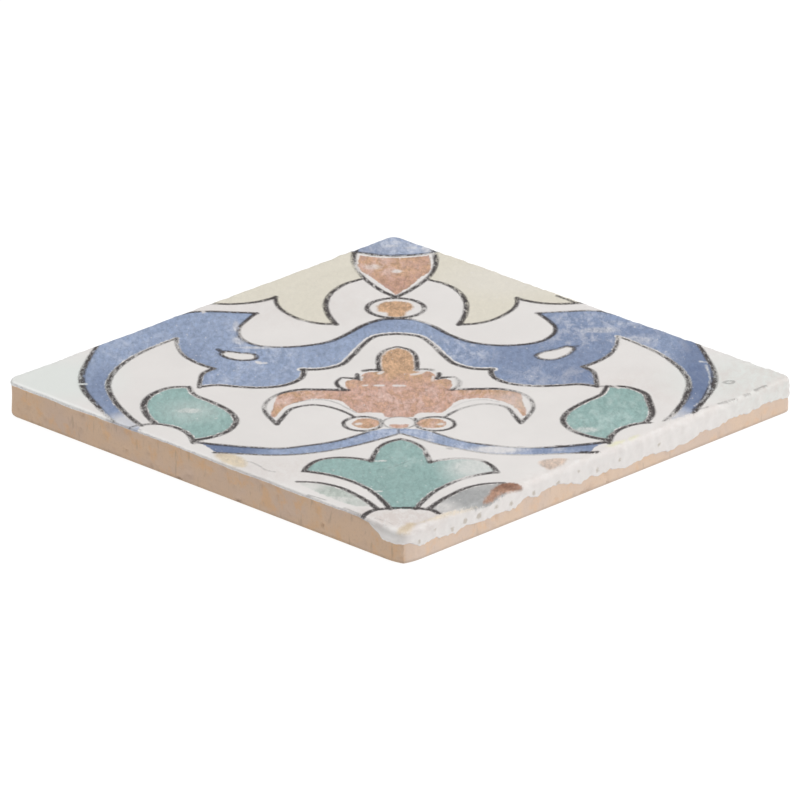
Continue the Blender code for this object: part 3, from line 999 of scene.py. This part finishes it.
# Kinds of node with the settings that they are used with
MULTIPLY = {"kind": "ShaderNodeMath", "operation": "MULTIPLY"}
ADD = {"kind": "ShaderNodeMath", "operation": "ADD"}
MULTIPLY_ADD = {"kind": "ShaderNodeMath", "operation": "MULTIPLY_ADD"}
RAMP = {"kind": "ShaderNodeMapRange"}
SOFT_RAMP = {"kind": "ShaderNodeMapRange", "interpolation_type": "SMOOTHSTEP"}
MIX = {"kind": "ShaderNodeMix", "data_type": "RGBA", "gives": 2}
FIELD = {"kind": "ShaderNodeAttribute", "gives": "Fac"}
NOISE = {"kind": "ShaderNodeTexNoise"}
PLACE = {"kind": "ShaderNodeTexCoord", "gives": "Object"}
BUMP = {"kind": "ShaderNodeBump"}
MAPPING = {"kind": "ShaderNodeMapping"}
HEIGHT = {"kind": "ShaderNodeSeparateXYZ", "gives": "Z"}


def fill_inputs(tree, node, inputs):
    """Sets a node's inputs to values or links them to sockets, in the node's own order or by name."""
    pairs = inputs.items() if isinstance(inputs, dict) else enumerate(inputs)
    for key, value in pairs:
        socket = node.inputs[key]
        if isinstance(value, bpy.types.NodeSocket):
            tree.links.new(value, socket)
        else:
            socket.default_value = value


def add_node(tree, inputs=(), *, kind, gives=0, **settings):
    """One node of a kind with its settings and its inputs. Returns the output that it gives."""
    node = tree.nodes.new(kind)
    for name, value in settings.items():
        setattr(node, name, value)
    fill_inputs(tree, node, inputs)
    return node.outputs[gives]


def new_material(name):
    """A material, a function that adds a node to it and one that fills its shader's inputs."""
    material = bpy.data.materials.new(name)
    material.use_nodes = True
    tree = material.node_tree
    shader = tree.nodes["Principled BSDF"]
    return material, partial(add_node, tree), partial(fill_inputs, tree, shader)


def scale_of(size_mm):
    """The Scale of a noise whose features are about this wide."""
    return 1 / (size_mm * MM)


def opaque(colour, shade=1.0):
    return (*[min(c * shade, 1.0) for c in colour], 1.0)


# How much longer brush marks are towards the back corner than across
BRUSH_PULL = 2.3

# The noises that the brushwork shares: size in mm, detail, roughness and distortion
BRUSH_NOISES = {
    "grain": (0.8, 2.0, 0.7, 0.0),
    "blot": (1.7, 3.0, 0.6, 0.0),
    "mottle": (1.6, 4.0, 0.78, 0.4),
    "cloud": (3.6, 5.0, 0.76, 0.3),
    "speck": (1.3, 1.0, 0.5, 0.0),
}

# The noises of the clay: size in mm, detail and roughness
CLAY_NOISES = {"ash": (16, 4.0, 0.5), "iron": (6, 4.0, 0.6), "sand": (0.9, 3.0, 0.5),
               "marks": (2.2, 2.0, 0.5)}

# How much darker and paler than itself the grainiest pigment dries
TONE_SWING = 0.42

# The first wash that lies over the outlines and not under them
FIRST_OVER_INK = "tan"
GLAZE_FIELDS = (*SOFT_PATCHES, "soiled", "bright", "daub", "flaw", "pinhole", "to_lip")


def brush_noises(add, place):
    """Grains, bristle-wide blots, the uneven drying of a wash, clouds and lone specks."""
    return {
        name: add({"Vector": place, "Scale": scale_of(size), "Detail": detail,
                   "Roughness": roughness, "Distortion": distortion}, **NOISE)
        for name, (size, detail, roughness, distortion) in BRUSH_NOISES.items()}


def brush_wobble(add, noises, blots, grains):
    """How far a brushed edge strays, in mm: by blots and by single grains."""
    slow = add((noises["blot"], blots, -(blots + grains) / 2), **MULTIPLY_ADD)
    return add((noises["grain"], grains, slow), **MULTIPLY_ADD)


def wash_layer(add, base, name, noises, wobble, shares):
    """Lays one oxide wash over what is already painted."""
    colours, wash = bpy.context.scene.tile_colours, WASHES[name]
    pigment = getattr(colours, name)
    field = add(attribute_name=name, **FIELD)
    edge = add((field, wobble), **ADD)
    laid = add((edge, wash.feather * 0.6, -wash.feather, 0.0, wash.cover), **SOFT_RAMP)
    cloudy = add((shares["cloud"], wash.cloud), **MULTIPLY)
    cover = add((cloudy, -0.6, 1.0), **MULTIPLY_ADD)
    cover = add((cover, shares["cover"]), **MULTIPLY)
    cover = add((cover, laid), **MULTIPLY)
    tone = pigment_tone(add, pigment, wash.grain, noises)
    if name == "terracotta":
        ochre = pigment_tone(add, colours.ochre, wash.grain, noises)
        tone = add({0: shares["warm"], 6: tone, 7: ochre}, **MIX)
    tone = add({0: cloudy, 6: tone, 7: opaque(pigment, 1.6)}, **MIX)
    pooled = add((shares["pool"], wash.pool), **MULTIPLY)
    deep = [channel ** 2 for channel in pigment]
    tone = add({0: pooled, 6: tone, 7: opaque(deep)}, **MIX)
    return add({0: cover, 6: base, 7: tone}, **MIX)


def pigment_tone(add, pigment, grain, noises):
    """A pigment that dried unevenly: darker where it gathered, paler where it ran thin."""
    uneven = add((noises["mottle"], 0.34, 0.66, 0.0, 1.0), **RAMP)
    swing = TONE_SWING * grain
    dark, pale = opaque(pigment, 1 - swing), opaque(pigment, 1 + swing)
    return add({0: uneven, 6: dark, 7: pale}, **MIX)


def ink_layer(add, base, name, noises, wobble, shares, strength):
    """Draws the outlines in dry, granular strokes that let the white through."""
    colours = bpy.context.scene.tile_colours
    field = add(attribute_name=name, **FIELD)
    edge = add((field, wobble), **ADD)
    drawn = add((edge, 0.45, -0.45, 0.0, strength), **SOFT_RAMP)
    dry = add((noises["grain"], 1.2, noises["blot"]), **MULTIPLY_ADD)
    dry = add((shares["worn"], -0.36, dry), **MULTIPLY_ADD)
    dry = add((edge, -0.12, dry), **MULTIPLY_ADD)
    dry = add((dry, 0.74, 1.26, 0.2, 1.0), **SOFT_RAMP)
    cover = add((drawn, dry), **MULTIPLY)
    cover = add((cover, shares["paint"]), **MULTIPLY)
    return add({0: cover, 6: base, 7: opaque(colours.ink)}, **MIX)


def glaze_material():
    # Tin-opacified earthenware glaze, poured over the face and fired once more after painting with
    # metal-oxide washes. The eye gets a warm white under a soft gloss, washes that sank in grainy
    # and clouded, dry brown-black outlines, and lumps and pinholes where it ran down the edges.
    white = bpy.context.scene.tile_colours.ground
    material, add, fill_shader = new_material("tin_glaze_majolica")
    place = add(**PLACE)
    pulled = add({"Vector": place, "Rotation": (0, 0, -math.pi / 4), "Scale": (1, BRUSH_PULL, 1)},
                 vector_type="TEXTURE", **MAPPING)
    noises = brush_noises(add, pulled)
    wobble = brush_wobble(add, noises, 1.2, 1.4)
    fields = {name: add(attribute_name=name, **FIELD) for name in GLAZE_FIELDS}

    ground = add({"Vector": place, "Scale": scale_of(30), "Detail": 6.0, "Roughness": 0.6}, **NOISE)
    ground = add((ground, 0.35, 0.65, 0.0, 1.0), **SOFT_RAMP)
    base = add({0: ground, 6: opaque(white), 7: opaque(white, 0.965)}, **MIX)
    uneven = add((noises["cloud"], 0.36, 0.64, 0.2, 1.8), **RAMP)
    # Mixed into the white: painted sheen as a cool tint at the far corners, dulled patches, a darker
    # band over the -Y arris, and painted light on the shaded -X rim
    for name, colour in (("pale", PAINTED_SHEEN_GROUND), ("dulled", DULL_GROUND),
                         ("soiled", DULL_GROUND), ("bright", PAINTED_RIM_LIGHT_WHITE)):
        patch = fields[name]
        if colour == DULL_GROUND:
            patch = add((patch, uneven), use_clamp=True, **MULTIPLY)
        base = add({0: patch, 6: base, 7: opaque(linear(colour))}, **MIX)

    daub = add((wobble, 2.6, fields["daub"]), **MULTIPLY_ADD)
    clear = add((daub, -0.7, 1.1, 0.0, 1.0), **SOFT_RAMP)
    flaw = add((fields["flaw"], wobble), **ADD)
    flaw = add((flaw, -0.6, 0.45, 0.2, 1.0), **SOFT_RAMP)
    paint = add((clear, flaw), **MULTIPLY)
    rubbed = add((noises["mottle"], 1.0, fields["rubbed"]), **MULTIPLY_ADD)
    rubbed = add((rubbed, 0.7, 1.45, 0.0, 1.0), **SOFT_RAMP)
    cover = add((rubbed, -0.84, 1.0), **MULTIPLY_ADD)
    specks = add((noises["speck"], 0.70, 0.78, 1.0, 0.6), **RAMP)
    veil = add((fields["thinned"], -0.85, 1.0), **MULTIPLY_ADD)
    for share in (specks, veil, paint):
        cover = add((cover, share), **MULTIPLY)
    cloud = add((noises["cloud"], 0.46, 0.68, 0.0, 1.0), **RAMP)
    clouded = add((fields["clouded"], 0.85, 0.15), **MULTIPLY_ADD)
    cloud = add((cloud, clouded), **MULTIPLY)
    streak = add((noises["cloud"], 0.40, 0.60, 0.45, -0.2), **RAMP)
    warmed = add((fields["warmed"], streak), use_clamp=True, **ADD)
    pooled = add((noises["cloud"], fields["pooled"]), **MULTIPLY)
    pooled = add((pooled, 1.9), use_clamp=True, **MULTIPLY)
    shares = {"cover": cover, "cloud": cloud, "warm": warmed, "pool": pooled,
              "worn": fields["ink_rubbed"], "paint": paint}
    for name in WASHES:
        if name == FIRST_OVER_INK:
            base = ink_layer(add, base, "faint", noises, wobble, shares, 0.5)
            base = ink_layer(add, base, "ink", noises, wobble, shares, 0.98)
            shares["cover"] = 1.0
        base = wash_layer(add, base, name, noises, wobble, shares)
    for name, outside, within, strength, colour in (
            ("pinhole", 0.45, -0.45, 0.55, PINHOLE), ("to_lip", 0.6, 0.0, 0.5, THIN_GLAZE)):
        edge = add((fields[name], wobble), **ADD)
        shown = add((edge, outside, within, 0.0, strength), **SOFT_RAMP)
        base = add({0: shown, 6: base, 7: opaque(linear(colour))}, **MIX)

    gloss = add((noises["blot"], 0.3, 0.7, 0.3, 0.44), **RAMP)
    bump = add({"Strength": 0.3, "Distance": 0.05 * MM, "Height": noises["blot"]}, **BUMP)
    fill_shader({"Base Color": base, "Roughness": gloss, "Normal": bump, "IOR": 1.5})
    return material


def clay_material():
    # Red-white earthenware clay, pressed in a mould, dried and biscuit fired. The eye gets a matt,
    # powdery buff with sand in it, ashy and iron-rich patches, faint marks of the mould's sides, and
    # a mist of white on the edge that the glaze ran down, with painted shade that darkens the clay
    # towards its bottom edge.
    colours = bpy.context.scene.tile_colours
    material, add, fill_shader = new_material("biscuit_clay")
    place = add(**PLACE)
    upright = add({"Vector": place, "Scale": (1, 1, 0.25)}, **MAPPING)
    noises = {
        name: add({"Vector": upright if name == "marks" else place, "Scale": scale_of(size),
                   "Detail": detail, "Roughness": roughness}, **NOISE)
        for name, (size, detail, roughness) in CLAY_NOISES.items()}
    height = add({"Vector": place}, **HEIGHT)
    misted = add(attribute_name="misted", **FIELD)
    cool = add((noises["ash"], 0.4, 0.62, 0.0, 0.75), **SOFT_RAMP)
    warm = add((noises["iron"], 0.5, 0.7, 0.0, 0.75), **SOFT_RAMP)
    drag = add((noises["marks"], 0.38, 0.26, 0.0, 0.5), **SOFT_RAMP)
    grit = add((noises["sand"], 0.3, 0.5, 0.3, 0.0), **RAMP)
    # Painted shade: the clay darkens towards its bottom edge, within 1.8 mm of the floor
    painted_bottom_shade = add((height, 1.8 * MM, 0.0, 0.0, 0.8), **SOFT_RAMP)
    misted = add((misted, 0.17), **MULTIPLY)
    base = opaque(colours.clay)
    for share, colour in (
            (cool, opaque(colours.clay_cool)), (warm, opaque(colours.clay_warm)),
            (drag, opaque(colours.clay, 0.66)), (grit, opaque(colours.clay, 0.8)),
            (painted_bottom_shade, opaque(colours.clay, 0.55)), (misted, opaque(colours.ground))):
        base = add({0: share, 6: base, 7: colour}, **MIX)
    bump = add({"Strength": 0.5, "Distance": 0.12 * MM, "Height": noises["sand"]}, **BUMP)
    fill_shader({"Base Color": base, "Normal": bump, "Roughness": 0.88, "Specular IOR Level": 0.25})
    return material


def sweep_material():
    # Matt white paper sweep, lit from above and a little from behind, so that it photographs as
    # one even white with hardly any shadow.
    material, _, fill_shader = new_material("matt_white_paper")
    fill_shader({"Base Color": opaque(linear(PAPER)), "Roughness": 0.9, "Specular IOR Level": 0.0,
                 "Emission Color": (1, 1, 1, 1), "Emission Strength": PAPER_GLOW})
    return material


# Operators

class ModelBiscuit(bpy.types.Operator):
    """Model the pressed clay body under the glaze"""

    bl_idname = "tile.model_biscuit"
    bl_label = "Model Clay Body"

    def execute(self, context):
        half = half_plan(context.scene.tile_sizes.back_arris)
        piece = grid_with_skirt("biscuit", half, BISCUIT_CELLS, BISCUIT_ROWS, upwards=True)
        shape_biscuit(piece)
        bpy.ops.object.shade_smooth_by_angle(angle=math.radians(CLAY_SMOOTH_ANGLE))
        piece.data.materials.append(clay_material())
        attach(piece, "root")
        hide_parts("tile")
        return {"FINISHED"}


class PourGlaze(bpy.types.Operator):
    """Model the glaze over the face and down the edges, and paint the ornament on it"""

    bl_idname = "tile.pour_glaze"
    bl_label = "Pour and Paint Glaze"

    def execute(self, context):
        half = half_plan(context.scene.tile_sizes.face_arris)
        piece = grid_with_skirt("glaze", half, GLAZE_CELLS, GLAZE_ROWS + 2, upwards=False)
        unrolled = shape_glaze(piece)
        paint_glaze(piece, unrolled)
        unwrap_glaze(piece, unrolled)
        bpy.ops.object.shade_smooth_by_angle(angle=math.radians(GLAZE_SMOOTH_ANGLE))
        piece.data.materials.append(glaze_material())
        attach(piece, "root")
        return {"FINISHED"}


# Camera, matched to the photograph's corners
CAMERA_AZIMUTH = -45.76
CAMERA_ELEVATION = 22.18
CAMERA_ROLL = 0.08
CAMERA_DISTANCE = 3.7927
CAMERA_LENS = 474.9
CAMERA_SHIFT = (0.00178, -0.00558)

# Area lights: place and size in metres, power in watts
LIGHTS = {"key": ((1.0, -1.6, 1.3), 3.0, 34.0), "top": ((0.45, 0.4, 2.4), 2.4, 46.0)}
FLOOR_SIDE, FLOOR_GAP = 12.0, 0.0002
WORLD_LIGHT = 0.24


def add_camera():
    turn, lift = math.radians(CAMERA_AZIMUTH), math.radians(CAMERA_ELEVATION)
    back = Vector((math.sin(turn) * math.cos(lift), -math.cos(turn) * math.cos(lift),
                   math.sin(lift)))
    target = Vector((0, 0, THICKNESS / 2 * MM))
    camera = bpy.data.objects.new("camera", bpy.data.cameras.new("camera"))
    camera.data.lens = CAMERA_LENS
    camera.data.shift_x, camera.data.shift_y = CAMERA_SHIFT
    camera.data.clip_start, camera.data.clip_end = 0.1, 100
    camera.location = target + back * CAMERA_DISTANCE
    camera.rotation_mode = "QUATERNION"
    roll = Quaternion((0, 0, 1), math.radians(CAMERA_ROLL))
    camera.rotation_quaternion = (-back).to_track_quat("-Z", "Y") @ roll
    bpy.context.scene.collection.objects.link(camera)
    bpy.context.scene.camera = camera


def add_soft_light(name, place, size, power):
    deselect_all()
    bpy.ops.object.light_add(type="AREA", location=place)
    light = bpy.context.object
    light.name = name
    light.data.size = size
    light.data.energy = power
    light.rotation_mode = "QUATERNION"
    light.rotation_quaternion = (-Vector(place)).to_track_quat("-Z", "Y")


class SetStage(bpy.types.Operator):
    """Set a plain pale floor, soft studio light and the camera"""

    bl_idname = "tile.set_stage"
    bl_label = "Set Stage"

    def execute(self, context):
        deselect_all()
        bpy.ops.mesh.primitive_plane_add(size=FLOOR_SIDE, location=(0, 0, -FLOOR_GAP))
        floor = context.object
        floor.name = "floor"
        floor.data.materials.append(sweep_material())
        world = bpy.data.worlds.new("studio")
        world.use_nodes = True
        fill_inputs(world.node_tree, world.node_tree.nodes["Background"],
                    {"Color": (1, 1, 1, 1), "Strength": WORLD_LIGHT})
        context.scene.world = world
        for name, (place, size, power) in LIGHTS.items():
            add_soft_light(name, place, size, power)
        context.scene.view_settings.view_transform = "Standard"
        add_camera()
        return {"FINISHED"}


class TilePanel(bpy.types.Panel):
    """Steps that model the tile, with its sizes and colours"""

    bl_idname = "VIEW3D_PT_majolica_tile"
    bl_label = "Majolica Tile"
    bl_space_type = "VIEW_3D"
    bl_region_type = "UI"
    bl_category = "Tile"

    def draw(self, context):
        for step in STEPS:
            self.layout.operator(step.bl_idname)
        for group in (context.scene.tile_sizes, context.scene.tile_colours):
            for name in group.__annotations__:
                self.layout.prop(group, name)


STEPS = (ModelBiscuit, PourGlaze, SetStage)
CLASSES = (TileSizes, TileColours, *STEPS, TilePanel)


def register():
    for cls in CLASSES:
        bpy.utils.register_class(cls)
    bpy.types.Scene.tile_sizes = PointerProperty(type=TileSizes)
    bpy.types.Scene.tile_colours = PointerProperty(type=TileColours)


def unregister():
    del bpy.types.Scene.tile_colours
    del bpy.types.Scene.tile_sizes
    for cls in reversed(CLASSES):
        bpy.utils.unregister_class(cls)


def main():
    register()
    bpy.ops.tile.model_biscuit()
    bpy.ops.tile.pour_glaze()
    bpy.ops.tile.set_stage()


if __name__ == "__main__":
    main()
